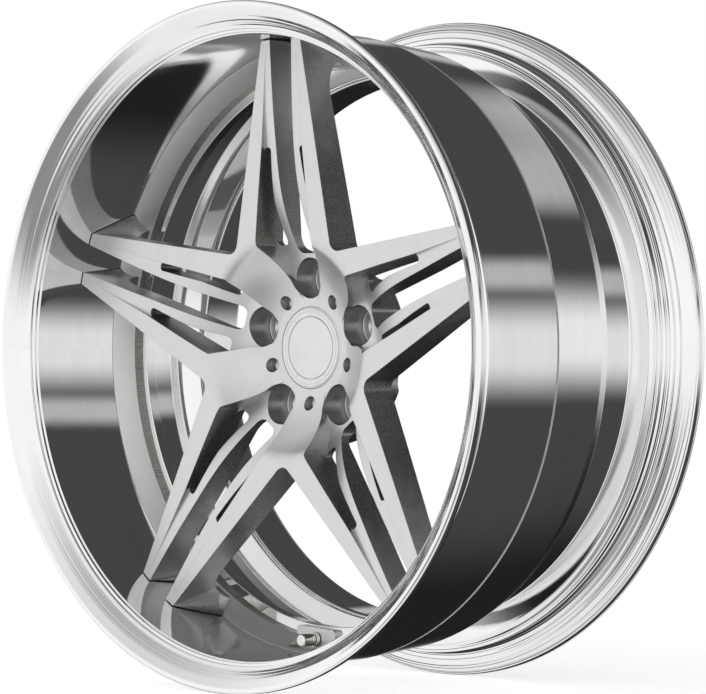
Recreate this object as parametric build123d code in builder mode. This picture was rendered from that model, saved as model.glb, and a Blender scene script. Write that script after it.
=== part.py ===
from build123d import *
from math import acos, cos, radians, sin, tan
import os

# Forged three-piece racing wheel, 20 x 9.5 inch, millimetres.
# Origin at the wheel's centre. The wheel's axis is Y, with the street side
# towards -Y and the car towards +Y. +Z is up. Angles about the axis are in
# degrees from +X towards +Z.
os.makedirs("parts", exist_ok=True)

# ---- driving dimensions -------------------------------------------------
ARM_COUNT = 5
ARM_START = 90.0
NODE_START = ARM_START + 180.0 / ARM_COUNT
FLANGE_R = 271.0            # outer radius of both rim flanges
HALF_WIDTH = 130.2          # half of the overall width
WALL_IN_R = 246.4           # inner radius of the polished outer half
WALL_OUT_R = 251.2          # tyre side of the wall
LAP_R = 248.8               # where the inner half's sleeve laps the outer half
SEAM_Y = -21.0              # seam between the two rim halves on the tyre side
SEAL_DEPTH = 1.2
RIM_FLANGE_IN_R = 225.0     # inner radius of the bolted rim flanges
JOINT_Y = -8.0              # back face of the centre's ring
FLANGE_SEAM_Y = -3.5        # between the two bolted flanges
FLANGE_BACK_Y = 2.0

RING_R = 246.2              # outer radius of the centre's ring
RING_FRONT_Y = -27.9
RING_IN_R = 234.7
RING_IN_Y = -12.8
LEG_END_R = 245.6
LEG_TIP_Y = -68.6           # street face at a leg's tip
LEG_BACK_Y = -42.5          # back of a leg before it flares into the ring
NODE_R = 92.0               # sharp V corner between neighbouring arms
NODE_FILLET = 9.0
CREASE_R = 87.0             # where the star's flat face drops to the hub
CREASE_Y = -66.0
CREASE_FILLET = 14.0
HUB_FACE_R = 40.0
HUB_FACE_Y = -34.5
PAD_R = 78.0                # mounting pad on the car side
MOUNT_Y = -3.0              # mounting face
HUB_BORE_R = 33.3
HUB_BORE_END_Y = -17.0
LUG_PCD_R = 56.0
LUG_POCKET_R = 16.4
LUG_HOLE_R = 7.5
LUG_SEAT_R = 12.0
LUG_SEAT_FRONT_Y = -12.0    # floor of the lug pocket
LUG_SEAT_BACK_Y = -6.5
PIN_HOLE_PCD_R = 44.5       # small blind holes between the lugs
PIN_HOLE_R = 5.75

CAP_R = 32.8
CAP_BORE_R = 30.5
CAP_SEAT_Y = -31.2          # shoulder that the cap's flange rests on
CAP_PLUG_R = 30.1
CAP_RECESS_Y = -33.2        # floor that carries the cap's ring and face
CAP_RING_IN_R = 25.3
CAP_RING_OUT_R = 31.4
CAP_FACE_R = 24.9
CAP_WIRE_R = 0.75
CAP_SPRING_Y = -22.5
CAP_SEAL_Y = -28.0

BOLT_COUNT = 30
BOLT_PCD_R = 240.2
BOLT_R = 2.95
BOLT_HOLE_R = 3.05
BOLT_END_Y = -13.5
WASHER_T = 0.8

VALVE_ANGLE = 266.0
VALVE_R = 236.0             # distance of the valve from the wheel's axis
VALVE_SEAT_Y = -12.5
VALVE_BORE_R = 4.6
VALVE_FOOT_Y = 0.4
VALVE_POCKET_W = 40.0
AIR_PASSAGE_R = 1.6
BOLT_START = VALVE_ANGLE + 180.0 / BOLT_COUNT
STREET = -120.0             # beyond every street face
EPS = 0.05                  # running gap between fitted pieces


def turned(corners):
    """A solid turned about the Y axis from (radius, y, fillet) corners."""
    with BuildPart() as body:
        with BuildSketch(Plane.XY):
            with BuildLine():
                FilletPolyline(
                    *[(r, y) for r, y, _ in corners],
                    radius=[fillet_r for _, _, fillet_r in corners],
                    close=True,
                )
            make_face()
        revolve(axis=Axis.Y)
    return body.part


def plug(radius, street_y, car_y):
    """A plain round solid on the Y axis between two heights."""
    with BuildPart() as body:
        with BuildSketch(Plane.XZ.offset(-car_y)):
            Circle(radius)
        extrude(amount=car_y - street_y)
    return body.part


def collar(outer_r, inner_r, street_y, car_y):
    """A plain ring on the Y axis between two heights."""
    return turned([
        (inner_r, street_y, 0),
        (outer_r, street_y, 0),
        (outer_r, car_y, 0),
        (inner_r, car_y, 0),
    ])


def wire_ring(centre_r, wire_r, y, sweep=360.0):
    """A ring of round wire about the Y axis, open when sweep is under 360."""
    with BuildPart() as body:
        with BuildSketch(Plane.XY):
            with Locations((centre_r, y)):
                Circle(wire_r)
        revolve(axis=Axis.Y, revolution_arc=sweep)
    return body.part


def out_at(part, radius):
    """The same part moved from the Y axis out along +X."""
    return part.moved(Location((radius, 0, 0)))


def around(part, count, start):
    """Copies of a part made on the +X axis, spread about the wheel's axis."""
    return [part.rotate(Axis.Y, -(start + 360.0 * i / count)) for i in range(count)]


def at_valve(part):
    """A part made on the Y axis, moved to the valve's place."""
    return out_at(part, VALVE_R).rotate(Axis.Y, -VALVE_ANGLE)


def mirrored(points):
    """A closed outline from its half on the +v side."""
    return points + [(u, -v) for u, v in reversed(points)]


def save(part, name):
    part.label = name
    export_step(part, f"parts/{name}.step")


# ---- forged centre ------------------------------------------------------
# In one arm's own plane, u runs out along the arm and v to its side.
HALF_STEP = radians(180.0 / ARM_COUNT)
NODE_POINT = (NODE_R * cos(HALF_STEP), NODE_R * sin(HALF_STEP))
ARM_OUTLINE = [(0.0, 0.1), NODE_POINT, (262.0, 18.8)]
VALLEY = [
    (36.0, 6.0),
    (46.0, 12.5),
    (60.0, 19.0),
    (82.0, 31.6),
    (117.0, 28.0),
    (160.0, 23.0),
    (229.0, 17.6),
    (260.0, 14.6),
]
# the slot's outer side runs along the valley's
SLOT = [
    (82.5, 31.6 - 0.5 * 3.6 / 35.0),
    (117.0, 28.0),
    (160.0, 23.0),
    (160.0, 15.9),
    (117.0, 19.5),
    (82.5, 17.7),
]
GAP = [(75.8, 10.0), (160.0, 10.0), (260.0, 12.6)]
WINDOW_BACK_Y = 20.0

# Front and back of the star as a turned envelope: hub face, petal slope,
# flat front of the legs, and a back that flares into the ring.
with BuildPart() as envelope:
    with BuildSketch(Plane.XY):
        with BuildLine():
            Line((0, HUB_FACE_Y), (HUB_FACE_R, HUB_FACE_Y))
            ThreePointArc((HUB_FACE_R, HUB_FACE_Y), (64.5, -45.0), (CREASE_R, CREASE_Y))
            Polyline(
                (CREASE_R, CREASE_Y),
                (LEG_END_R, LEG_TIP_Y),
                (LEG_END_R, JOINT_Y),
                (236.0, JOINT_Y),
                (236.0, -11.5),
            )
            ThreePointArc((236.0, -11.5), (226.9, -33.4), (205.0, LEG_BACK_Y))
            Line((205.0, LEG_BACK_Y), (92.0, -35.0))
            ThreePointArc((92.0, -35.0), (82.5, -31.0), (PAD_R, -22.0))
            Polyline(
                (PAD_R, -22.0),
                (PAD_R, MOUNT_Y - 2.0),
                (PAD_R - 2.0, MOUNT_Y),
                (0, MOUNT_Y),
                (0, HUB_FACE_Y),
            )
        make_face()
        fillet(vertices().sort_by_distance((CREASE_R, CREASE_Y))[0], CREASE_FILLET)
    revolve(axis=Axis.Y)

# Valley that opens every arm between its two outer strips, with its floor
# rising from the hub's face to the tips.
with BuildPart() as valley:
    with BuildSketch(Plane.XZ):
        Polygon(*mirrored(VALLEY), align=None)
    extrude(amount=-STREET)
    with BuildSketch(Plane.XY):
        with BuildLine():
            Line((30.0, HUB_FACE_Y), (62.0, HUB_FACE_Y))
            Spline(
                (62.0, HUB_FACE_Y),
                (88.0, -43.5),
                (118.0, -56.0),
                (165.0, -64.0),
                (262.0, -69.2),
                tangents=[(1, 0), (1, -0.03)],
            )
            Polyline((262.0, -69.2), (262.0, STREET), (30.0, STREET), (30.0, HUB_FACE_Y))
        make_face()
    extrude(amount=60, both=True, mode=Mode.INTERSECT)

# Through windows of one arm: the gap between its legs and a slot in each leg.
with BuildPart() as windows:
    with BuildSketch(Plane.XZ.offset(-WINDOW_BACK_Y)):
        Polygon(*mirrored(GAP), align=None)
        fillet(vertices().sort_by(Axis.X)[:2], 6.0)
    extrude(amount=WINDOW_BACK_Y - STREET)
    for side in (1, -1):
        with BuildSketch(Plane.XZ.offset(-WINDOW_BACK_Y)):
            Polygon(*[(u, side * v) for u, v in SLOT], align=None)
            fillet(vertices().sort_by(Axis.X)[:2], 4.5)
            fillet(vertices().sort_by(Axis.X)[-2:], 3.0)
        extrude(amount=WINDOW_BACK_Y - STREET)


def root_outline(corner, along_leg, along_ring, radius):
    """Concave corner between a leg's side and the ring: two tangent points
    joined by an arc, with a little overlap into the leg and past the ring."""
    leg = Vector(*along_leg).normalized()
    ring = Vector(*along_ring).normalized()
    half = acos(leg.dot(ring)) / 2
    start = Vector(*corner)
    on_leg = start + leg * (radius / tan(half))
    on_ring = start + ring * (radius / tan(half))
    bisector = (leg + ring).normalized()
    middle = start + bisector * (radius / sin(half) - radius)
    Polyline(on_ring, on_ring - leg, start - leg - ring, on_leg - ring, on_leg)
    ThreePointArc(on_leg, middle, on_ring)


def leg_root(corner, along_leg, along_ring, street_radius, car_radius):
    """A leg's flare into the ring, growing from the street face to the back."""
    with BuildPart() as body:
        for y, radius in ((CREASE_Y, street_radius), (RING_FRONT_Y, car_radius)):
            with BuildSketch(Plane.XZ.offset(-y)):
                with BuildLine():
                    root_outline(corner, along_leg, along_ring, radius)
                make_face()
        loft()
        with BuildSketch(Plane.XZ.offset(-RING_FRONT_Y)):
            with BuildLine():
                root_outline(corner, along_leg, along_ring, car_radius)
            make_face()
        extrude(amount=RING_FRONT_Y)
        mirror(about=Plane.XY)
    return body.part


outer_root = leg_root((244.9, 22.05), (-0.983, 0.185), (-0.09, 0.996), 1.5, 19.0)
inner_root = leg_root((245.6, 12.2), (-1.0, -0.026), (0.05, -1.0), 0.8, 7.0)

# Holes and pockets, each made on the +X axis and spread about the wheel's.
bolt_hole = out_at(plug(BOLT_HOLE_R, BOLT_END_Y - 0.8, JOINT_Y + 1), BOLT_PCD_R)
flange_hole = out_at(plug(BOLT_HOLE_R + 0.15, JOINT_Y - 1, FLANGE_BACK_Y + 1), BOLT_PCD_R)
centre_bore = turned([
    (0, STREET, 0),
    (CAP_R + 0.3, STREET, 0),
    (CAP_R + 0.3, CAP_SEAT_Y, 0),
    (CAP_BORE_R, CAP_SEAT_Y, 0),
    (CAP_BORE_R, HUB_BORE_END_Y, 0),
    (HUB_BORE_R, HUB_BORE_END_Y, 0),
    (HUB_BORE_R, MOUNT_Y - 1.5, 0),
    (HUB_BORE_R + 1.5, MOUNT_Y, 0),
    (HUB_BORE_R + 1.5, 5, 0),
    (0, 5, 0),
])
lug_pocket = out_at(
    turned([
        (0, STREET, 0),
        (LUG_POCKET_R, STREET, 0),
        (LUG_POCKET_R, LUG_SEAT_FRONT_Y, 1.2),
        (LUG_SEAT_R, LUG_SEAT_FRONT_Y, 0),
        (LUG_SEAT_R, LUG_SEAT_BACK_Y, 0),
        (LUG_HOLE_R, LUG_SEAT_BACK_Y, 0),
        (LUG_HOLE_R, 5, 0),
        (0, 5, 0),
    ]),
    LUG_PCD_R,
)
pin_hole = out_at(
    turned([
        (0, STREET, 0),
        (PIN_HOLE_R, STREET, 0),
        (PIN_HOLE_R, -27.0, 2.0),
        (0, -24.5, 0),
    ]),
    PIN_HOLE_PCD_R,
)
back_relief = out_at(
    turned([(0, -16.0, 0), (8.5, -16.0, 3.0), (8.5, 5, 0), (0, 5, 0)]),
    58.0,
)
pad_scallop = out_at(
    turned([(0, -27.0, 0), (19.0, -27.0, 5.0), (19.0, 5, 0), (0, 5, 0)]),
    90.0,
)
valve_bore = out_at(plug(VALVE_BORE_R, VALVE_SEAT_Y - 2, VALVE_FOOT_Y), VALVE_R)

# Flat boss for the valve and the pocket milled above it.
with BuildPart() as valve_boss:
    with BuildSketch(Plane.XZ.offset(-JOINT_Y)):
        with Locations((233.5, 0)):
            RectangleRounded(14.0, VALVE_POCKET_W + 4, 4.0)
    extrude(amount=JOINT_Y - VALVE_SEAT_Y)

with BuildPart() as valve_pocket:
    with BuildSketch(Plane.XZ.offset(-VALVE_SEAT_Y)):
        with Locations((232.5, 0)):
            RectangleRounded(22.0, VALVE_POCKET_W, 4.0)
    extrude(amount=40)

with BuildPart() as forged_centre:
    with BuildSketch(Plane.XZ):
        with PolarLocations(0, ARM_COUNT, start_angle=ARM_START):
            Polygon(*mirrored(ARM_OUTLINE), align=None)
        corners = vertices().filter_by(lambda v: abs(v.center().length - NODE_R) < 0.5)
        fillet(corners, NODE_FILLET)
    extrude(amount=-STREET)
    add(around(valley.part, ARM_COUNT, ARM_START), mode=Mode.SUBTRACT)
    add(around(windows.part, ARM_COUNT, ARM_START), mode=Mode.SUBTRACT)
    add(around(outer_root, ARM_COUNT, ARM_START))
    add(around(inner_root, ARM_COUNT, ARM_START))
    add(envelope.part, mode=Mode.INTERSECT)
    # mounting ring with its conical street face
    with BuildSketch(Plane.XY):
        Polygon(
            (RING_R, RING_FRONT_Y),
            (RING_R, JOINT_Y),
            (RING_IN_R, JOINT_Y),
            (RING_IN_R, RING_IN_Y),
            align=None,
        )
    revolve(axis=Axis.Y)
    add(around(valve_boss.part, 1, VALVE_ANGLE))
    add(around(valve_pocket.part, 1, VALVE_ANGLE), mode=Mode.SUBTRACT)
    add(around(valve_bore, 1, VALVE_ANGLE), mode=Mode.SUBTRACT)
    add(around(bolt_hole, BOLT_COUNT, BOLT_START), mode=Mode.SUBTRACT)
    add(centre_bore, mode=Mode.SUBTRACT)
    add(around(lug_pocket, ARM_COUNT, ARM_START), mode=Mode.SUBTRACT)
    add(around(pin_hole, ARM_COUNT, NODE_START), mode=Mode.SUBTRACT)
    add(around(back_relief, ARM_COUNT, NODE_START), mode=Mode.SUBTRACT)
    add(around(pad_scallop, ARM_COUNT, NODE_START), mode=Mode.SUBTRACT)

save(forged_centre.part, "forged_centre")


# ---- rim halves ---------------------------------------------------------
# street side: bolted flange, polished wall, three thin steps, lip, J flange,
# bead seat, hump and the long cylinder to the seam
OUTER_HALF = [
    (RIM_FLANGE_IN_R, JOINT_Y, 0.8),
    (WALL_IN_R, JOINT_Y, 0),
    (WALL_IN_R, -110.4, 0.3),
    (247.8, -111.2, 0.3),
    (247.8, -113.4, 0.3),
    (249.8, -114.2, 0.3),
    (249.8, -116.4, 0.4),
    (252.2, -117.8, 1.0),
    (260.0, -125.4, 20.0),
    (267.0, -HALF_WIDTH, 4.0),
    (FLANGE_R, -HALF_WIDTH, 2.6),
    (FLANGE_R, -124.5, 5.0),
    (268.6, -120.2, 8.0),
    (261.0, -113.6, 10.0),
    (253.9, -112.0, 4.5),
    (252.9, -104.0, 1.0),
    (254.6, -102.4, 0.9),
    (254.6, -100.8, 0.9),
    (WALL_OUT_R, -98.2, 1.5),
    (WALL_OUT_R, SEAM_Y - SEAL_DEPTH, 0),
    (WALL_OUT_R - SEAL_DEPTH, SEAM_Y, 0),
    (LAP_R, SEAM_Y, 0),
    (LAP_R, FLANGE_SEAM_Y, 0),
    (RIM_FLANGE_IN_R, FLANGE_SEAM_Y, 0),
]

# car side: bolted flange and lap sleeve, gentle taper, drop centre, hump,
# bead seat and the rear J flange
INNER_HALF = [
    (RIM_FLANGE_IN_R, FLANGE_SEAM_Y, 0),
    (LAP_R, FLANGE_SEAM_Y, 0),
    (LAP_R, SEAM_Y, 0),
    (WALL_OUT_R - SEAL_DEPTH, SEAM_Y, 0),
    (WALL_OUT_R, SEAM_Y + SEAL_DEPTH, 0),
    (246.6, 35.0, 9.0),
    (242.5, 47.0, 7.0),
    (226.0, 57.0, 9.0),
    (226.0, 92.0, 4.0),
    (244.4, 94.4, 5.0),
    (251.6, 98.6, 2.4),
    (250.6, 102.6, 1.2),
    (253.4, 112.0, 4.5),
    (261.0, 113.6, 10.0),
    (268.6, 120.2, 8.0),
    (FLANGE_R, 124.5, 5.0),
    (FLANGE_R, HALF_WIDTH, 2.6),
    (266.5, HALF_WIDTH, 4.0),
    (260.0, 123.4, 12.0),
    (249.0, 118.0, 8.0),
    (246.0, 105.0, 5.0),
    (240.0, 99.6, 5.0),
    (221.0, 97.2, 7.0),
    (221.0, 54.0, 9.0),
    (238.2, 43.4, 7.0),
    (241.6, 34.0, 9.0),
    (245.9, FLANGE_BACK_Y, 0.3),
    (RIM_FLANGE_IN_R, FLANGE_BACK_Y, 0.8),
]

with BuildPart() as outer_rim_half:
    add(turned(OUTER_HALF))
    add(around(flange_hole, BOLT_COUNT, BOLT_START), mode=Mode.SUBTRACT)
    add(around(valve_bore, 1, VALVE_ANGLE), mode=Mode.SUBTRACT)

save(outer_rim_half.part, "outer_rim_half")

# Drilled way from the tyre side down to the valve's foot.
with BuildPart() as air_passage:
    with BuildSketch(Plane.YZ.offset(VALVE_R)):
        with Locations((VALVE_FOOT_Y - AIR_PASSAGE_R - 0.4, 0)):
            Circle(AIR_PASSAGE_R)
    extrude(amount=30)

with BuildPart() as inner_rim_half:
    add(turned(INNER_HALF))
    add(around(flange_hole, BOLT_COUNT, BOLT_START), mode=Mode.SUBTRACT)
    add(around(valve_bore, 1, VALVE_ANGLE), mode=Mode.SUBTRACT)
    add(around(air_passage.part, 1, VALVE_ANGLE), mode=Mode.SUBTRACT)

save(inner_rim_half.part, "inner_rim_half")

with BuildPart() as seam_seal:
    add(turned([
        (WALL_OUT_R - SEAL_DEPTH + EPS, SEAM_Y, 0),
        (WALL_OUT_R, SEAM_Y - SEAL_DEPTH + EPS, 0),
        (WALL_OUT_R, SEAM_Y + SEAL_DEPTH - EPS, 0),
    ]))

save(seam_seal.part, "seam_seal")


# ---- hidden rim bolts, driven from the car side -------------------------
BOLT_HEAD_Y = FLANGE_BACK_Y + WASHER_T

with BuildPart() as rim_bolt:
    add(plug(BOLT_R, BOLT_END_Y, BOLT_HEAD_Y))
    add(plug(4.8, BOLT_HEAD_Y, BOLT_HEAD_Y + 1.4))
    with BuildSketch(Plane.XZ.offset(-(BOLT_HEAD_Y + 6.6))):
        RegularPolygon(3.9, 6)
        RegularPolygon(3.9, 6, rotation=30)
    extrude(amount=5.4)
    add(plug(2.2, BOLT_HEAD_Y + 4.4, BOLT_HEAD_Y + 7), mode=Mode.SUBTRACT)

with BuildPart() as rim_bolts:
    add(around(out_at(rim_bolt.part, BOLT_PCD_R), BOLT_COUNT, BOLT_START))

save(rim_bolts.part, "rim_bolts")

washer = collar(5.0, BOLT_HOLE_R + 0.1, FLANGE_BACK_Y, BOLT_HEAD_Y)
with BuildPart() as rim_bolt_washers:
    add(around(out_at(washer, BOLT_PCD_R), BOLT_COUNT, BOLT_START))

save(rim_bolt_washers.part, "rim_bolt_washers")


# ---- lug seat inserts ---------------------------------------------------
lug_seat = out_at(
    turned([
        (LUG_SEAT_R - EPS, LUG_SEAT_BACK_Y, 0),
        (LUG_SEAT_R - EPS, LUG_SEAT_FRONT_Y + 0.4, 0.5),
        (10.6, LUG_SEAT_FRONT_Y + 0.4, 0.3),
        (LUG_HOLE_R + 0.1, -8.6, 0.5),
        (LUG_HOLE_R + 0.1, LUG_SEAT_BACK_Y, 0),
    ]),
    LUG_PCD_R,
)
for number, seat in enumerate(around(lug_seat, ARM_COUNT, ARM_START), start=1):
    save(seat, f"lug_seat_{number}")


# ---- centre cap ---------------------------------------------------------
with BuildPart() as centre_cap_body:
    add(turned([
        (0, CAP_RECESS_Y, 0),
        (CAP_RING_OUT_R + 0.1, CAP_RECESS_Y, 0),
        (CAP_RING_OUT_R + 0.1, HUB_FACE_Y, 0.2),
        (CAP_R, HUB_FACE_Y, 0.5),
        (CAP_R, CAP_SEAT_Y, 0.2),
        (CAP_PLUG_R, CAP_SEAT_Y, 0),
        (CAP_PLUG_R, CAP_SEAL_Y - 0.9, 0),
        (CAP_PLUG_R - 1.3, CAP_SEAL_Y - 0.9, 0),
        (CAP_PLUG_R - 1.3, CAP_SEAL_Y + 0.9, 0),
        (CAP_PLUG_R, CAP_SEAL_Y + 0.9, 0),
        (CAP_PLUG_R, CAP_SPRING_Y - 0.9, 0),
        (CAP_PLUG_R - 1.3, CAP_SPRING_Y - 0.9, 0),
        (CAP_PLUG_R - 1.3, CAP_SPRING_Y + 0.9, 0),
        (CAP_PLUG_R, CAP_SPRING_Y + 0.9, 0),
        (CAP_PLUG_R, -20.0, 0.4),
        (27.0, -20.0, 0.4),
        (27.0, -30.8, 1.0),
        (0, -30.8, 0),
    ]))

save(centre_cap_body.part, "centre_cap_body")

TICK_COUNT = 10
with BuildPart() as centre_cap_ring:
    add(turned([
        (CAP_RING_IN_R, CAP_RECESS_Y, 0),
        (CAP_RING_IN_R, HUB_FACE_Y - 0.3, 0.2),
        (28.6, HUB_FACE_Y - 0.3, 0),
        (28.8, HUB_FACE_Y, 0),
        (29.3, HUB_FACE_Y, 0),
        (29.5, HUB_FACE_Y - 0.3, 0),
        (CAP_RING_OUT_R, HUB_FACE_Y - 0.3, 0.2),
        (CAP_RING_OUT_R, CAP_RECESS_Y, 0),
    ]))
    with BuildSketch(Plane.XZ.offset(-HUB_FACE_Y)):
        with PolarLocations((CAP_RING_IN_R + 28.6) / 2, TICK_COUNT, start_angle=20):
            Rectangle(2.2, 0.5)
    extrude(amount=1, mode=Mode.SUBTRACT)

save(centre_cap_ring.part, "centre_cap_ring")

with BuildPart() as centre_cap_face:
    add(turned([
        (0, CAP_RECESS_Y, 0),
        (CAP_FACE_R, CAP_RECESS_Y, 0),
        (CAP_FACE_R, HUB_FACE_Y - 0.3, 0.3),
        (CAP_FACE_R / 2, HUB_FACE_Y - 0.8, 60.0),
        (0, HUB_FACE_Y - 0.9, 0),
    ]))

save(centre_cap_face.part, "centre_cap_face")

with BuildPart() as cap_retaining_spring:
    add(wire_ring(CAP_PLUG_R - 0.45, CAP_WIRE_R, CAP_SPRING_Y, sweep=335.0))

save(cap_retaining_spring.part, "cap_retaining_spring")

with BuildPart() as cap_o_ring:
    add(wire_ring(CAP_PLUG_R - 0.45, CAP_WIRE_R, CAP_SEAL_Y))

save(cap_o_ring.part, "cap_o_ring")


# ---- tyre valve ---------------------------------------------------------
VALVE_TIP_Y = -27.0
VALVE_STEM_R = 3.85
CORE_R = 2.6
CORE_BACK_Y = -17.0
PIN_R = 0.55
PIN_TIP_Y = -26.6
PIN_HEAD_BACK_Y = -25.8
SPRING_BACK_Y = -21.6
CAP_TOP_Y = -30.0
BASE_FRONT_Y = -16.2

with BuildPart() as valve_stem:
    add(turned([
        (1.4, VALVE_FOOT_Y - 4.0, 0),
        (1.4, -14.0, 0),
        (CORE_R, -14.6, 0),
        (CORE_R, VALVE_TIP_Y, 0),
        (VALVE_STEM_R, VALVE_TIP_Y, 0.4),
        (VALVE_STEM_R, BASE_FRONT_Y, 0),
        (6.1, BASE_FRONT_Y, 0.6),
        (6.1, VALVE_SEAT_Y - 0.8, 0.2),
        (VALVE_BORE_R - EPS, VALVE_SEAT_Y - 0.8, 0),
        (VALVE_BORE_R - EPS, VALVE_FOOT_Y - 4.0, 0.4),
    ]))
    # fine thread lands under the cap
    for i in range(8):
        add(collar(VALVE_STEM_R + 0.01, VALVE_STEM_R - 0.2, -26.0 + i, -25.6 + i), mode=Mode.SUBTRACT)

save(at_valve(valve_stem.part), "valve_stem")

save(at_valve(collar(6.0, VALVE_BORE_R, VALVE_SEAT_Y - 0.8, VALVE_SEAT_Y)), "valve_base_seal")

core_body = turned([
    (PIN_R + EPS, CORE_BACK_Y, 0),
    (PIN_R + EPS, SPRING_BACK_Y, 0),
    (1.55, SPRING_BACK_Y, 0),
    (1.55, -26.4, 0),
    (CORE_R - EPS, -26.4, 0.2),
    (CORE_R - EPS, CORE_BACK_Y, 0.2),
])
save(at_valve(core_body), "valve_core_body")

core_pin = turned([
    (0, PIN_TIP_Y, 0),
    (1.35, PIN_TIP_Y, 0.2),
    (1.35, PIN_HEAD_BACK_Y, 0),
    (PIN_R, PIN_HEAD_BACK_Y, 0),
    (PIN_R, -14.9, 0),
    (0, -14.9, 0),
])
save(at_valve(core_pin), "valve_core_pin")

core_seal = turned([
    (PIN_R, CORE_BACK_Y, 0),
    (1.7, CORE_BACK_Y, 0.2),
    (1.2, -15.4, 0.2),
    (PIN_R, -15.4, 0),
])
save(at_valve(core_seal), "valve_core_seal")

COIL_R = 1.1
COIL_WIRE_R = 0.18
COIL_TURNS = 5
coil_height = SPRING_BACK_Y - PIN_HEAD_BACK_Y - 2 * COIL_WIRE_R - 2 * EPS
with BuildPart() as core_spring:
    with BuildLine():
        coil = Helix(
            coil_height / COIL_TURNS,
            coil_height,
            COIL_R,
            center=(0, SPRING_BACK_Y - COIL_WIRE_R - EPS, 0),
            direction=(0, -1, 0),
        )
    with BuildSketch(Plane(origin=coil @ 0, z_dir=coil % 0)):
        Circle(COIL_WIRE_R)
    sweep(is_frenet=True)

save(at_valve(core_spring.part), "valve_core_spring")

valve_cap = turned([
    (0, CAP_TOP_Y, 0),
    (5.1, CAP_TOP_Y, 1.6),
    (5.1, BASE_FRONT_Y - 0.6, 0.4),
    (VALVE_STEM_R + 0.2, BASE_FRONT_Y - 0.6, 0),
    (VALVE_STEM_R + 0.2, VALVE_TIP_Y - 1.0, 0),
    (0, VALVE_TIP_Y - 1.0, 0),
])
save(at_valve(valve_cap), "valve_cap")

save(at_valve(collar(VALVE_STEM_R + 0.1, 2.0, VALVE_TIP_Y - 1.0, VALVE_TIP_Y - 0.1)), "valve_cap_seal")
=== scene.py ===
from math import atan2, cos, pi, radians, sin, tan

import bpy
from mathutils import Matrix, Vector


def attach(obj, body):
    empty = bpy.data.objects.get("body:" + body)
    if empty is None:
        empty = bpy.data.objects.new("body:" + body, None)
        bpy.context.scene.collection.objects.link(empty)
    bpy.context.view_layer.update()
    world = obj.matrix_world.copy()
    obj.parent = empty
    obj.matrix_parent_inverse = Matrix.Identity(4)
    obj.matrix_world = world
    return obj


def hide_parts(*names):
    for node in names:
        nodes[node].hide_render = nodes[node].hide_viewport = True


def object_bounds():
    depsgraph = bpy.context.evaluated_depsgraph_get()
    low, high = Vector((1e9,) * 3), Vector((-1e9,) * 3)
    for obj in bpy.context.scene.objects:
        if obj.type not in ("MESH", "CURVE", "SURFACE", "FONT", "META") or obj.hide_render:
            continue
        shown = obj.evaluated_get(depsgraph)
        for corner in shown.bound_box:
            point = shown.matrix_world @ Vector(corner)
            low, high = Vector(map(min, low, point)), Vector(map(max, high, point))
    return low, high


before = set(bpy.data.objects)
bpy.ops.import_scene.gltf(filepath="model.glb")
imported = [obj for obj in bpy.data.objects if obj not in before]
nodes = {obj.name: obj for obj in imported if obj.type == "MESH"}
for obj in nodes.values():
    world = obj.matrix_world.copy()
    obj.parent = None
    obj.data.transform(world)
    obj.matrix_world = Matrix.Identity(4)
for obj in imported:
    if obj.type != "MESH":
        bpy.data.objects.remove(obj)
cad_lo, cad_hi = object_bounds()
scene = bpy.context.scene
scene.view_settings.view_transform = "Standard"

FLOOR_Z = cad_lo.z - 0.0004


# ---- node helpers --------------------------------------------------------
class Tree:
    """A short way to add and link shader nodes."""

    def __init__(self, owner):
        owner.use_nodes = True
        self.nodes = owner.node_tree.nodes
        self.links = owner.node_tree.links
        self.nodes.clear()

    def add(self, kind, inputs=None, **settings):
        node = self.nodes.new("ShaderNode" + kind)
        for key, value in settings.items():
            setattr(node, key, value)
        for key, value in (inputs or {}).items():
            if isinstance(value, bpy.types.NodeSocket):
                self.links.new(value, node.inputs[key])
            else:
                node.inputs[key].default_value = value
        return node

    def maths(self, operation, *values):
        return self.add("Math", dict(enumerate(values)), operation=operation).outputs[0]

    def remap(self, value, from_lo, from_hi, to_lo, to_hi, smooth=False):
        node = self.add("MapRange", {0: value, 1: from_lo, 2: from_hi, 3: to_lo, 4: to_hi})
        if smooth:
            node.interpolation_type = "SMOOTHSTEP"
        return node.outputs[0]

    def ramp(self, value, stops):
        """Grey levels between (place, grey) stops."""
        node = self.add("ValToRGB", {0: value})
        elements = node.color_ramp.elements
        while len(elements) < len(stops):
            elements.new(0.5)
        for element, (place, grey) in zip(elements, stops):
            element.position = place
            element.color = (grey, grey, grey, 1)
        return node.outputs[0]

    def mix(self, factor, a, b):
        node = self.add("Mix", {0: factor}, data_type="RGBA")
        for socket, value in ((node.inputs[6], a), (node.inputs[7], b)):
            if isinstance(value, bpy.types.NodeSocket):
                self.links.new(value, socket)
            else:
                socket.default_value = (*value, 1)
        return node.outputs[2]

    def noise(self, vector, scale, detail=2.0, roughness=0.5):
        node = self.add("TexNoise", {"Scale": scale, "Detail": detail, "Roughness": roughness})
        if vector is not None:
            self.links.new(vector, node.inputs["Vector"])
        return node.outputs[0]

    def bump(self, height, strength, distance=0.001, normal=None):
        node = self.add("Bump", {"Height": height, "Strength": strength, "Distance": distance})
        if normal is not None:
            self.links.new(normal, node.inputs["Normal"])
        return node.outputs[0]


def material(name):
    made = bpy.data.materials.new(name)
    return made, Tree(made)


def finish_metal(tree, **inputs):
    shader = tree.add("BsdfPrincipled", inputs)
    tree.add("OutputMaterial", {0: shader.outputs[0]})
    return shader


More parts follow.
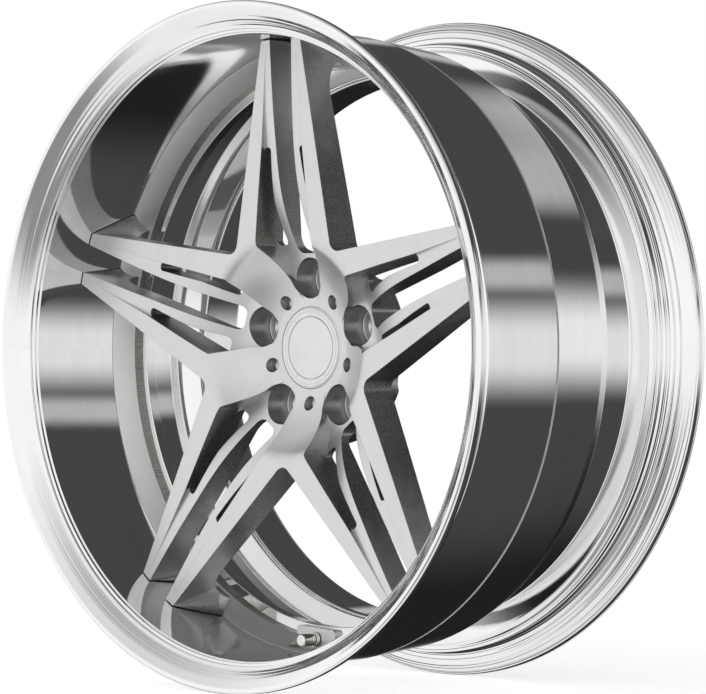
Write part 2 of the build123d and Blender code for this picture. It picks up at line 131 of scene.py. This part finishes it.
def wheel_coordinates(tree):
    """Object position as (distance from the axle, height along it, angle round it)."""
    where = tree.add("TexCoord").outputs["Object"]
    split = tree.add("SeparateXYZ", {0: where})
    radius = tree.maths("SQRT", tree.maths(
        "ADD", tree.maths("POWER", split.outputs[0], 2.0), tree.maths("POWER", split.outputs[2], 2.0)))
    angle = tree.maths("ARCTAN2", split.outputs[2], split.outputs[0])
    return where, radius, split.outputs[1], angle


# ---- materials -----------------------------------------------------------
# places on the wheel in metres: (where a zone starts, where it is full)
REAR_BEADS_Y = (0.094, 0.098)
LIP_LINES_INNER_Y = (-0.112, -0.115)
LIP_LINES_OUTER_Y = (-0.1275, -0.122)
LIP_LINES = 0.42            # bump strength of the lines turned on the lip
# lug pocket zone: its walls are painted lighter and made smoother
LUG_POCKET_ZONE_R = (0.075, 0.095)
# radii over which the leg walls are painted lighter towards the ring
LEG_ROOT_LIGHT_R = (0.165, 0.235)
FACE_SLOPE = (0.35, 0.62)   # how far a surface faces along the axle, from wall to face


def polished_rim(name, tint):
    """Mirror-polished spun aluminium: faint turning rings, haze, buffing marks, and
    stronger turned lines on the rear flange and inside the lip."""
    made, t = material(name)
    where, radius, height, angle = wheel_coordinates(t)
    rings_at = t.add("CombineXYZ", {0: t.maths("MULTIPLY", radius, 900.0),
                                    1: t.maths("MULTIPLY", height, 900.0),
                                    2: t.maths("MULTIPLY", angle, 1.2)}).outputs[0]
    rings = t.noise(rings_at, 1.0, 3.0, 0.6)
    haze = t.noise(where, 14.0, 4.0, 0.6)
    smears = t.noise(t.add("CombineXYZ", {0: t.maths("MULTIPLY", radius, 60.0),
                                          1: t.maths("MULTIPLY", height, 60.0),
                                          2: t.maths("MULTIPLY", angle, 3.0)}).outputs[0], 1.0, 4.0)
    rough = t.maths("ADD", t.remap(haze, 0.35, 0.75, 0.035, 0.075), t.remap(smears, 0.4, 0.7, 0.0, 0.03))
    colour = t.mix(t.remap(smears, 0.35, 0.65, 0.0, 1.0), tint, tuple(c * 0.95 for c in tint))
    beads = t.noise(t.add("CombineXYZ", {0: t.maths("MULTIPLY", radius, 420.0),
                                         1: t.maths("MULTIPLY", height, 420.0),
                                         2: t.maths("MULTIPLY", angle, 0.7)}).outputs[0], 1.0, 1.0)
    lip = t.maths("MINIMUM", t.remap(height, *LIP_LINES_INNER_Y, 0.0, LIP_LINES),
                  t.remap(height, *LIP_LINES_OUTER_Y, 0.04, LIP_LINES))
    beaded = t.maths("MAXIMUM", t.remap(height, *REAR_BEADS_Y, 0.0, 1.0), lip)
    fine = t.bump(rings, 0.035, 0.0004)
    finish_metal(t, **{"Base Color": colour, "Metallic": 1.0, "Roughness": rough,
                       "Normal": t.bump(beads, beaded, 0.0011, fine)})
    return made


def forged_satin(name):
    """Forged centre: bright brushed faces; granular walls between them with painted shade in their base
    colour, painted lighter where the legs meet the ring; smoother walls in the lug pockets, also painted
    lighter."""
    made, t = material(name)
    where, radius, _, _ = wheel_coordinates(t)
    normal = t.add("TexCoord").outputs["Normal"]
    facing = t.add("SeparateXYZ", {0: normal}).outputs[1]
    # walls (surfaces facing across the axle) get painted shade in their colour, plus a rougher grain
    wall = t.remap(t.maths("ABSOLUTE", facing), *FACE_SLOPE, 1.0, 0.0, smooth=True)
    grain = t.noise(where, 900.0, 3.0, 0.65)
    blotch = t.noise(where, 60.0, 4.0, 0.6)
    brushed = t.noise(t.add("Mapping", {0: where, "Scale": (240.0, 240.0, 1600.0)}).outputs[0], 1.0, 2.0)
    # lug pocket mask: painted light in the wall colour, and smoother walls
    pocket_light_and_smooth = t.remap(radius, *LUG_POCKET_ZONE_R, 1.0, 0.0)
    face_colour = t.mix(t.remap(blotch, 0.3, 0.7, 0.0, 1.0), (0.73, 0.73, 0.725), (0.69, 0.69, 0.685))
    # painted shade: the walls' base colour is made dark to stand in for their shade; the grain varies it
    shaded_wall_colour = t.mix(t.remap(grain, 0.35, 0.65, 0.0, 1.0), (0.13, 0.127, 0.12), (0.36, 0.355, 0.34))
    # painted light: wall colour lifted towards the ring, where the legs meet it
    uneven_radius = t.maths("MULTIPLY_ADD", blotch, 0.05, radius)
    root_painted_light = t.remap(uneven_radius, *LEG_ROOT_LIGHT_R, 0.0, 1.0, smooth=True)
    # painted light is kept off the ring's own inner wall, which looks back at the axle and keeps its
    # painted shade
    outward = t.add("VectorMath", {0: normal, 1: where}, operation="DOT_PRODUCT").outputs["Value"]
    root_painted_light = t.maths("MULTIPLY", root_painted_light, t.remap(outward, -0.20, -0.12, 0.0, 1.0))
    shaded_wall_colour = t.mix(root_painted_light, shaded_wall_colour, (0.56, 0.56, 0.55))
    # painted light: walls in the lug pockets lifted to a lighter grey
    shaded_wall_colour = t.mix(pocket_light_and_smooth, shaded_wall_colour, (0.42, 0.42, 0.415))
    colour = t.mix(wall, face_colour, shaded_wall_colour)
    face_rough = t.remap(brushed, 0.3, 0.7, 0.31, 0.41)
    wall_rough = t.remap(grain, 0.3, 0.7, 0.24, 0.40)
    wall_rough = t.add("Mix", {0: pocket_light_and_smooth, 2: wall_rough, 3: 0.2}).outputs[0]
    rough = t.add("Mix", {0: wall, 2: face_rough, 3: wall_rough}).outputs[0]
    height_map = t.add("Mix", {0: wall, 2: t.maths("MULTIPLY", brushed, 0.03), 3: grain}).outputs[0]
    edge = t.add("Bevel", {0: 0.0006}, samples=4).outputs[0]
    finish_metal(t, **{"Base Color": colour, "Metallic": 0.92, "Roughness": rough,
                       "Normal": t.bump(height_map, 0.35, 0.0006, edge)})
    return made


def small_metal(name, colour, rough_lo, rough_hi, scale=500.0, strength=0.1):
    made, t = material(name)
    where = t.add("TexCoord").outputs["Object"]
    grain = t.noise(where, scale, 3.0, 0.6)
    wear = t.noise(where, 90.0, 3.0)
    tone = t.mix(t.remap(wear, 0.35, 0.65, 0.0, 1.0), colour, tuple(c * 0.96 for c in colour))
    finish_metal(t, **{"Base Color": tone, "Metallic": 1.0,
                       "Roughness": t.remap(grain, 0.3, 0.7, rough_lo, rough_hi),
                       "Normal": t.bump(grain, strength, 0.0003)})
    return made


def rubber(name, tone):
    made, t = material(name)
    where = t.add("TexCoord").outputs["Object"]
    grain = t.noise(where, 1400.0, 3.0, 0.6)
    colour = t.mix(grain, (tone * 0.8,) * 3, (tone * 1.25,) * 3)
    finish_metal(t, **{"Base Color": colour, "Metallic": 0.0,
                       "Roughness": t.remap(grain, 0.3, 0.7, 0.55, 0.8),
                       "Normal": t.bump(grain, 0.25, 0.0003)})
    return made


FINISHES = {
    "centre_satin": forged_satin("forged_satin"),
    "rim_polished": polished_rim("polished_rim", (0.93, 0.93, 0.925)),
    "sealant": rubber("seam_sealant", 0.30),
    "steel": small_metal("zinc_steel", (0.62, 0.62, 0.61), 0.28, 0.45),
    "lug_seat": small_metal("seat_steel", (0.80, 0.80, 0.79), 0.16, 0.28),
    "cap_satin": small_metal("cap_satin", (0.80, 0.80, 0.80), 0.30, 0.42, 1200.0),
    "valve_metal": small_metal("valve_nickel", (0.86, 0.85, 0.83), 0.10, 0.2),
    "brass": small_metal("brass", (0.72, 0.55, 0.28), 0.25, 0.4),
    "rubber": rubber("nitrile_rubber", 0.03),
}
SLOT_OF = {
    "forged_centre": "centre_satin", "outer_rim_half": "rim_polished", "inner_rim_half": "rim_polished",
    "seam_seal": "sealant", "rim_bolts": "steel", "rim_bolt_washers": "steel",
    "centre_cap_body": "cap_satin", "centre_cap_ring": "cap_satin", "centre_cap_face": "cap_satin",
    "cap_retaining_spring": "steel", "cap_o_ring": "rubber", "valve_stem": "valve_metal",
    "valve_base_seal": "rubber", "valve_core_body": "brass", "valve_core_pin": "brass",
    "valve_core_seal": "rubber", "valve_core_spring": "steel", "valve_cap": "valve_metal",
    "valve_cap_seal": "rubber",
}
for name, node in nodes.items():
    slot = "lug_seat" if name.startswith("lug_seat") else SLOT_OF[name]
    for place in node.material_slots:
        place.material = FINISHES[slot]

# ---- rim halves, turned as smooth rings ----------------------------------
MM = 0.001
TURNS = 400
WALL_IN_R, WALL_OUT_R, LAP_R = 246.4, 251.2, 248.8
FLANGE_R, HALF_WIDTH = 271.0, 130.2
SEAM_Y, SEAL_DEPTH = -21.0, 1.2
RIM_FLANGE_IN_R, JOINT_Y, FLANGE_SEAM_Y, FLANGE_BACK_Y = 225.0, -8.0, -3.5, 2.0

# (radius, y, fillet) corners in millimetres, each profile run round once
OUTER_HALF = [
    (RIM_FLANGE_IN_R, JOINT_Y, 0.8), (WALL_IN_R, JOINT_Y, 0), (WALL_IN_R, -110.4, 0.3),
    (247.8, -111.2, 0.3), (247.8, -113.4, 0.3), (249.8, -114.2, 0.3), (249.8, -116.4, 0.4),
    (252.2, -117.8, 1.0), (260.0, -125.4, 20.0), (267.0, -HALF_WIDTH, 4.0),
    (FLANGE_R, -HALF_WIDTH, 2.6), (FLANGE_R, -124.5, 5.0), (268.6, -120.2, 8.0),
    (261.0, -113.6, 10.0), (253.9, -112.0, 4.5), (252.9, -104.0, 1.0), (254.6, -102.4, 0.9),
    (254.6, -100.8, 0.9), (WALL_OUT_R, -98.2, 1.5), (WALL_OUT_R, SEAM_Y - SEAL_DEPTH, 0),
    (WALL_OUT_R - SEAL_DEPTH, SEAM_Y, 0), (LAP_R, SEAM_Y, 0), (LAP_R, FLANGE_SEAM_Y, 0),
    (RIM_FLANGE_IN_R, FLANGE_SEAM_Y, 0),
]
SPLIT_Y = 88.0
INNER_FRONT = [
    (RIM_FLANGE_IN_R, FLANGE_SEAM_Y, 0), (LAP_R, FLANGE_SEAM_Y, 0), (LAP_R, SEAM_Y, 0),
    (WALL_OUT_R - SEAL_DEPTH, SEAM_Y, 0), (WALL_OUT_R, SEAM_Y + SEAL_DEPTH, 0),
    (246.6, 35.0, 9.0), (242.5, 47.0, 7.0), (226.0, 57.0, 9.0), (226.0, SPLIT_Y, 0),
    (221.0, SPLIT_Y, 0), (221.0, 54.0, 9.0), (238.2, 43.4, 7.0), (241.6, 34.0, 9.0),
    (245.9, FLANGE_BACK_Y, 0.3), (RIM_FLANGE_IN_R, FLANGE_BACK_Y, 0.8),
]
INNER_REAR = [
    (226.0, SPLIT_Y, 0), (226.0, 92.6, 1.5), (244.0, 94.4, 2.2), (246.4, 96.6, 0.7), (248.6, 96.4, 0.7),
    (249.2, 98.4, 0.6), (251.6, 98.6, 1.2), (250.6, 102.6, 1.2), (253.0, 110.2, 1.6),
    (254.6, 111.4, 0.8), (257.0, 111.6, 1.4), (258.4, 113.4, 1.2), (261.8, 113.9, 6.0),
    (268.6, 120.2, 8.0), (269.4, 121.6, 0.6), (270.2, 121.9, 0.6), (FLANGE_R, 124.5, 1.6),
    (FLANGE_R, 127.0, 0.6), (FLANGE_R - 0.5, 127.6, 0.4), (FLANGE_R, 128.2, 0.6),
    (FLANGE_R, HALF_WIDTH, 1.6), (266.5, HALF_WIDTH, 4.0), (260.0, 123.4, 12.0),
    (249.0, 118.0, 8.0), (246.0, 105.0, 5.0), (240.0, 99.6, 5.0), (221.0, 97.2, 7.0),
    (221.0, SPLIT_Y, 0),
]


def rounded(corners):
    """Points and outward normals of a closed profile, each corner turned to its radius."""
    count = len(corners)
    area = sum(a[0] * b[1] - b[0] * a[1] for a, b in zip(corners, corners[1:] + corners[:1]))
    outward = 1 if area > 0 else -1
    points = []
    for i, (r, y, radius) in enumerate(corners):
        here = Vector((r, y))
        arriving = (here - Vector(corners[i - 1][:2])).normalized()
        leaving = (Vector(corners[(i + 1) % count][:2]) - here).normalized()
        turn = arriving.x * leaving.y - arriving.y * leaving.x
        turn = atan2(turn, arriving.dot(leaving))
        radius = max(radius, 0.001)
        start = here - arriving * radius * tan(abs(turn) / 2)
        to_centre = Vector((-arriving.y, arriving.x)) * radius * (1 if turn > 0 else -1)
        centre = start + to_centre
        steps = max(2, int(abs(turn) / radians(7)))
        for k in range(steps + 1):
            spin = Matrix.Rotation(turn * k / steps, 2)
            along = spin @ arriving
            points.append((centre - spin @ to_centre, Vector((along.y, -along.x)) * outward))
    return points


def turned_ring(name, corners):
    """A ring turned about the wheel's axis, with the profile's own normals."""
    profile = rounded(corners)
    rows = len(profile)
    vertices, normals = [], []
    for k in range(TURNS):
        c, s = cos(2 * pi * k / TURNS), sin(2 * pi * k / TURNS)
        for point, normal in profile:
            vertices.append((point.x * MM * c, point.y * MM, point.x * MM * s))
            normals.append((normal.x * c, normal.y, normal.x * s))
    faces = []
    for k in range(TURNS):
        a, b = k * rows, (k + 1) % TURNS * rows
        for i in range(rows):
            j = (i + 1) % rows
            faces.append((a + i, b + i, b + j, a + j))
    mesh = bpy.data.meshes.new(name)
    mesh.from_pydata(vertices, [], faces)
    mesh.validate()
    mesh.update()
    middle = mesh.polygons[0]
    if middle.normal.dot(Vector(normals[middle.vertices[0]])) < 0:
        mesh.flip_normals()
    mesh.shade_smooth()
    mesh.normals_split_custom_set_from_vertices(normals)
    ring = bpy.data.objects.new(name, mesh)
    scene.collection.objects.link(ring)
    return ring


for name, corners, node in (("outer_barrel", OUTER_HALF, "outer_rim_half"),
                            ("inner_barrel", INNER_FRONT, "inner_rim_half"),
                            ("rear_flange", INNER_REAR, "inner_rim_half")):
    ring = turned_ring(name, corners)
    ring.data.materials.append(FINISHES["rim_polished"])
    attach(ring, "wheel")
    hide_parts(node)
    ring.visible_glossy = name != "rear_flange"

# ---- floor ---------------------------------------------------------------
floor_mesh = bpy.data.meshes.new("floor")
FLOOR_HALF = 40.0
corners = [(x * FLOOR_HALF, y * FLOOR_HALF, FLOOR_Z) for x, y in ((-1, -1), (1, -1), (1, 1), (-1, 1))]
floor_mesh.from_pydata(corners, [], [(0, 1, 2, 3)])
floor = bpy.data.objects.new("floor", floor_mesh)
scene.collection.objects.link(floor)
floor.visible_glossy = False
made, t = material("pale_floor")
tone = t.noise(t.add("TexCoord").outputs["Object"], 3.0, 3.0)
shader = t.add("BsdfPrincipled", {"Base Color": t.mix(tone, (0.80, 0.80, 0.80), (0.84, 0.84, 0.84)),
                                  "Roughness": 0.9, "Specular IOR Level": 0.0,
                                  "Emission Color": (1, 1, 1, 1), "Emission Strength": 0.66})
t.add("OutputMaterial", {0: shader.outputs[0]})
floor_mesh.materials.append(made)

# ---- studio surroundings -------------------------------------------------
world = bpy.data.worlds.new("studio")
scene.world = world
t = Tree(world)
heading = t.add("TexCoord").outputs["Generated"]
east, north, up = t.add("SeparateXYZ", {0: heading}).outputs
level = t.maths("MULTIPLY_ADD", up, 0.5, 0.5)
# behind the wheel: a dark room with a lit horizon and one strip light above it
ROOM_DARK = 0.06


def band(centre, reach, brightness):
    """A soft-edged light running level round the room; centre 0.5 is the horizon."""
    away = t.maths("ABSOLUTE", t.maths("SUBTRACT", level, centre))
    return t.remap(away, reach * 0.2, reach, brightness, 0.0, smooth=True)


side_wall = t.maths("ADD", t.maths("ADD", band(0.50, 0.13, 0.72), band(0.65, 0.045, 0.42)), ROOM_DARK)
back_wall = t.maths("ADD", t.maths("ADD", band(0.52, 0.13, 0.80), band(0.77, 0.05, 0.38)), ROOM_DARK)
room = t.mix(t.remap(north, 0.765, 0.80, 0.0, 1.0, smooth=True), side_wall, back_wall)
# the room is darker below the horizon on the left
shade_side = t.remap(east, -0.15, 0.35, 0.25, 1.0, smooth=True)
below = t.remap(up, -0.35, -0.1, 1.0, 0.0, smooth=True)
shade = t.add("Mix", {0: below, 2: 1.0, 3: shade_side}).outputs[0]
room = t.add("VectorMath", {0: room, 3: shade}, operation="SCALE").outputs[0]
# in front of it: a large soft tent, dimmer overhead, and low down except at the far left
tent = t.ramp(level, [(0.00, 0.86), (0.40, 1.00), (0.70, 1.00), (0.84, 0.76), (1.00, 0.30)])
floor_side = t.remap(east, -0.62, -0.08, 1.0, 0.30, smooth=True)
low = t.maths("MULTIPLY", t.remap(up, -0.46, -0.08, 1.0, 0.0, smooth=True),
              t.remap(north, -0.68, -0.50, 1.0, 0.0, smooth=True))
dim = t.add("Mix", {0: low, 2: 1.0, 3: floor_side}).outputs[0]
tent = t.add("VectorMath", {0: tent, 3: dim}, operation="SCALE").outputs[0]
front = t.remap(north, 0.42, 0.02, 0.0, 1.0, smooth=True)
room = t.mix(front, room, tent)
# the camera sees plain white; everything else is lit by the room
lit = t.add("Background", {0: room, 1: 1.0})
white = t.add("Background", {0: (1, 1, 1, 1), 1: 1.0})
seen = t.add("MixShader", {0: t.add("LightPath").outputs["Is Camera Ray"],
                           1: lit.outputs[0], 2: white.outputs[0]})
t.add("OutputWorld", {0: seen.outputs[0]})

# ---- camera --------------------------------------------------------------
AZIMUTH, ELEVATION, DISTANCE = radians(44.71), radians(-0.32), 2.8065
back = Vector((sin(AZIMUTH) * cos(ELEVATION), -cos(AZIMUTH) * cos(ELEVATION), sin(ELEVATION)))
camera_data = bpy.data.cameras.new("camera")
camera_data.sensor_width = 36.0
camera_data.lens = 177.12
camera_data.shift_x = 0.01706
camera_data.shift_y = 0.0014
camera_data.clip_end = 200.0
camera = bpy.data.objects.new("camera", camera_data)
camera.location = back * DISTANCE
camera.rotation_mode = "QUATERNION"
camera.rotation_quaternion = (-back).to_track_quat("-Z", "Y")
scene.collection.objects.link(camera)
scene.camera = camera
